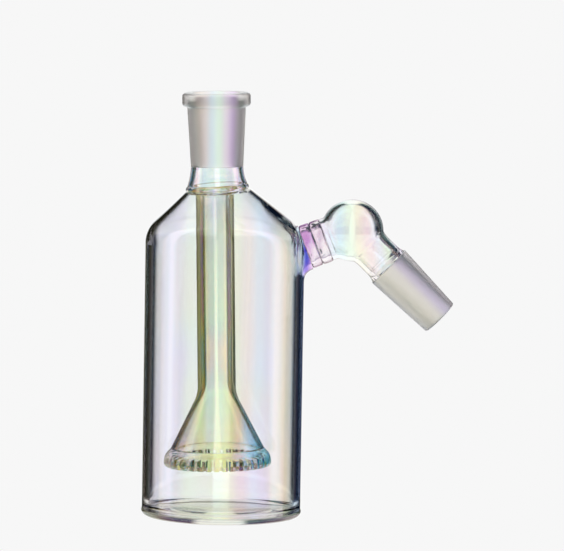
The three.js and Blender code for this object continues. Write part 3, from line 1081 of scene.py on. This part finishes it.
# %% Glass of the bulb
arm_glass = coated_glass(
    "coated_arm_glass",
    [
        (30, (0.94, 0.90, 0.97)),
        (34, (0.92, 0.94, 0.98)),
        (37, (0.85, 0.95, 0.97)),
        (40, (0.91, 0.98, 0.90)),
        (43, (0.97, 0.95, 0.85)),
        (46, (0.97, 0.91, 0.90)),
        (49, (0.92, 0.94, 0.98)),
        (52, (0.92, 0.97, 0.90)),
        (56, (0.95, 0.84, 0.97)),
    ],
    # The rim colours are mostly painted shade: dark lines at the edges of the bulb and its ports, with
    # grey and the coat's purple.
    [
        (30, (0.10, 0.08, 0.12)),
        (36, (0.55, 0.58, 0.60)),
        (41, (0.20, 0.20, 0.24)),
        (46, (0.03, 0.03, 0.05)),
        (50, (0.04, 0.03, 0.06)),
        (55, (0.50, 0.18, 0.50)),
    ],
    graze=(0.62, 0.85),
    drift=9.0,
)

# %% Blow the bulb and pull its two ports
BULB_WALL = 1.4
SHANK_RADIUS = 6.4
SHANK_LENGTH = 3.4
NECK_ROOT = 7.3  # radii of the holes that the two ports are pulled from
SHANK_ROOT = 7.0

shank_end = BULB_RADIUS + SHANK_LENGTH
ball_outline = arc(0, 0, BULB_RADIUS, -90, 90, 44)
bulb = turn_on_lathe("splash_bulb_glass", ball_outline, steps=88)
between = (180 - ARM_SLOPE - CONE_SLOPE) / 2
bulb = put(bulb, 90 - ARM_SLOPE + (90 - between), bulb_centre)
open_port(
    bulb,
    bulb_centre,
    -arm_axis,
    hole=NECK_ROOT,
    end=bulb_neck,
    end_radius=ARM_RADIUS,
    rings=5,
    calm=2.0,
)
open_port(
    bulb,
    bulb_centre,
    cone_axis,
    hole=SHANK_ROOT,
    end=shank_end,
    end_radius=SHANK_RADIUS,
    lead=(0.2, 0.5),
    rings=10,
    calm=1.0,
)
give_wall(bulb, BULB_WALL)
finish_glass(bulb, "splash_bulb", arm_glass)

# %% [markdown]
# ## Ground cone
# A short clear bead widens from the shank to the cone, and the cone is ground with grit like the
# socket. Its colours run along its slant and not along the bottle's width, so its bands get their
# own direction. They darken towards both sides of the cone, which is painted shade on its round
# sides, with the coat's buff and lavender between. Both pieces are turned upright and then laid on
# the cone's axis.

# %% Ground glass of the cone
cone_side = (math.sin(math.radians(CONE_SLOPE)), 0, math.cos(math.radians(CONE_SLOPE)))
cone_line = bulb_centre.dot(Vector(cone_side))
cone_glass = coated_glass(
    "ground_cone_glass",
    # Painted shade: the tints darken towards both sides of the cone, and the rim colours darken its
    # edges.
    [
        (cone_line - 7.5, (0.84, 0.82, 0.74)),
        (cone_line - 4, (0.92, 0.90, 0.83)),
        (cone_line, (0.94, 0.92, 0.88)),
        (cone_line + 3.5, (0.90, 0.86, 0.97)),
        (cone_line + 5.5, (0.93, 0.89, 0.95)),
        (cone_line + 7.5, (0.84, 0.84, 0.82)),
    ],
    [(cone_line - 7.5, (0.80, 0.78, 0.72)), (cone_line + 7.5, (0.80, 0.78, 0.84))],
    graze=(0.6, 0.9),
    direction=cone_side,
    film=(200, 300),
    roughness=0.36,
    drift=0.8,
)

# %% Turn the seal of the cone
SHANK_WALL = 1.7
CONE_SEAL_LENGTH = 2.4

shank_bore = SHANK_RADIUS - SHANK_WALL
seal_start = shank_end + SEAM
cone_start = shank_end + CONE_SEAL_LENGTH + SEAL_GAP
cone_seal_outline = [
    (shank_bore, seal_start),
    (SHANK_RADIUS, seal_start),
    *bend(
        (SHANK_RADIUS, seal_start),
        (SHANK_RADIUS, (seal_start + cone_start) / 2),
        (JOINT_RADIUS - 0.3, cone_start - SEAM),
    ),
    (shank_bore, cone_start - SEAM),
    (shank_bore, seal_start),
]
cone_lean = 90 + CONE_SLOPE
cone_seal = put(turn_on_lathe("cone_seal_bead", cone_seal_outline), cone_lean, bulb_centre)
finish_glass(cone_seal, "cone_seal_ring", arm_glass)

# %% Turn the ground cone
cone_end = cone_start + JOINT_LENGTH
tip_radius = JOINT_RADIUS - JOINT_TAPER * JOINT_LENGTH
cone_outline = [
    (shank_bore, cone_start),
    *arc(JOINT_RADIUS - 0.4, cone_start + 0.4, 0.4, -90, 0, 5),
    *run((JOINT_RADIUS, cone_start + 0.6), (tip_radius + 0.04, cone_end - 0.8), 10),
    *arc(tip_radius - 0.5, cone_end - 0.5, 0.5, 10, 90, 5),
    *arc(shank_bore + 0.3, cone_end - 0.3, 0.3, 90, 180, 4),
    (shank_bore, cone_start),
]
cone = put(turn_on_lathe("ground_cone_glass", cone_outline), cone_lean, bulb_centre)
finish_glass(cone, "ground_cone", cone_glass)

# %% [markdown]
# ## Light and floor
# Glass is lit for its edges. Straight behind the bottle stands a tall white card, and to each side
# of that a dark flag, which the rims of the walls pick up as dark lines. The same card and flags
# repeat every quarter turn, so the bottle reads as well from the other sides, with a dimmer, narrow
# card between the flags. The bench is white, and the ceiling is grey. Area lights could stand for
# the cards, but their edges would be hard, so the studio is drawn on the world, where they fade out.
# The floor is a disc of evenly glowing paper that takes no shadow, and the glass neither shows nor
# reflects it, so that it doesn't light the body's edges from below.

# %% Start the studio
studio = bpy.data.worlds.new("studio")
bpy.context.scene.world = studio
studio.use_nodes = True
nodes, links = studio.node_tree.nodes, studio.node_tree.links
nodes.clear()


def maths(operation, first, second=None, third=None):
    node = nodes.new("ShaderNodeMath")
    node.operation = operation
    for socket, value in zip(node.inputs, (first, second, third)):
        if value is None:
            continue
        if isinstance(value, (int, float)):
            socket.default_value = value
        else:
            links.new(value, socket)
    return node.outputs[0]


def fade(value, start, end, low=0.0, high=1.0):
    """A soft step of a value, from low at start to high at end."""
    node = nodes.new("ShaderNodeMapRange")
    node.interpolation_type = "SMOOTHSTEP"
    links.new(value, node.inputs["Value"])
    for name, number in (("From Min", start), ("From Max", end), ("To Min", low), ("To Max", high)):
        node.inputs[name].default_value = number
    return node.outputs["Result"]


# %% Which way a ray goes
coordinates = nodes.new("ShaderNodeTexCoord")
direction = nodes.new("ShaderNodeSeparateXYZ")
links.new(coordinates.outputs["Generated"], direction.inputs[0])
turn = maths("DEGREES", maths("ARCTAN2", direction.outputs["X"], direction.outputs["Y"]))
height = maths("DEGREES", maths("ARCSINE", direction.outputs["Z"]))

# %% Cards, ceiling and bench, by their angles in degrees
CARD_SPACING = 90
CARD_EDGE = (9, 15)  # a card is full up to the first angle from its middle and gone at the second
SMALL_CARD_EDGE = (38, 41)
SMALL_CARD_LIGHT = 0.08
CEILING_EDGE = (46, 56)
CEILING_LIGHT = 0.45
BENCH_EDGE = (-10, -12)

from_card = maths("PINGPONG", turn, CARD_SPACING / 2)
small_cards = fade(from_card, *SMALL_CARD_EDGE, 0, SMALL_CARD_LIGHT)
cards = maths("MAXIMUM", fade(from_card, *CARD_EDGE, 1, 0), small_cards)
ceiling = fade(height, *CEILING_EDGE, 0, CEILING_LIGHT)
bench = fade(height, *BENCH_EDGE)
lit = maths("MAXIMUM", maths("MAXIMUM", cards, ceiling), bench)

# %% Dark flags between the cards, olive on one side and navy on the other
CARD = 1.06
OLIVE_FLAG = (0.018, 0.017, 0.010, 1)
NAVY_FLAG = (0.004, 0.009, 0.024, 1)

flag = nodes.new("ShaderNodeMix")
flag.data_type = "RGBA"
sector = maths("GREATER_THAN", maths("SINE", maths("RADIANS", maths("MULTIPLY", turn, 4))), 0)
links.new(sector, flag.inputs["Factor"])
flag.inputs["A"].default_value = OLIVE_FLAG
flag.inputs["B"].default_value = NAVY_FLAG
room = nodes.new("ShaderNodeMix")
room.data_type = "RGBA"
links.new(lit, room.inputs["Factor"])
links.new(flag.outputs["Result"], room.inputs["A"])
room.inputs["B"].default_value = (CARD, CARD, CARD, 1)

# %% Behind the bottle the camera sees plain white; the cards and flags only show in the glass
WHITE = 0.93

seen = nodes.new("ShaderNodeLightPath")
shown = nodes.new("ShaderNodeMix")
shown.data_type = "RGBA"
links.new(seen.outputs["Is Camera Ray"], shown.inputs["Factor"])
links.new(room.outputs["Result"], shown.inputs["A"])
shown.inputs["B"].default_value = (WHITE, WHITE, WHITE, 1)
background = nodes.new("ShaderNodeBackground")
links.new(shown.outputs["Result"], background.inputs["Color"])
output = nodes.new("ShaderNodeOutputWorld")
links.new(background.outputs[0], output.inputs[0])

# %% Lay the floor
FLOOR_RADIUS = 150.0
FLOOR_DROP = 0.1  # keeps the floor from touching the base

bpy.ops.object.select_all(action="DESELECT")
bpy.ops.mesh.primitive_circle_add(
    vertices=96, radius=FLOOR_RADIUS * MM, fill_type="NGON", location=(0, 0, -FLOOR_DROP * MM)
)
floor = bpy.context.object
floor.name = "floor"
bpy.ops.object.transform_apply(location=True)
paper = bpy.data.materials.new("white_paper")
paper.use_nodes = True
paper_nodes, paper_links = paper.node_tree.nodes, paper.node_tree.links
paper_nodes.clear()
glow = paper_nodes.new("ShaderNodeEmission")
glow.inputs["Color"].default_value = (WHITE, WHITE, WHITE, 1)
paper_out = paper_nodes.new("ShaderNodeOutputMaterial")
paper_links.new(glow.outputs[0], paper_out.inputs["Surface"])
floor.data.materials.append(paper)
floor.visible_transmission = floor.visible_glossy = False

# %% Colour, and enough bounces for a ray to cross every wall of the glass
scene = bpy.context.scene
scene.view_settings.view_transform = "Standard"
scene.cycles.max_bounces = 32
scene.cycles.transmission_bounces = 32
scene.cycles.glossy_bounces = 24
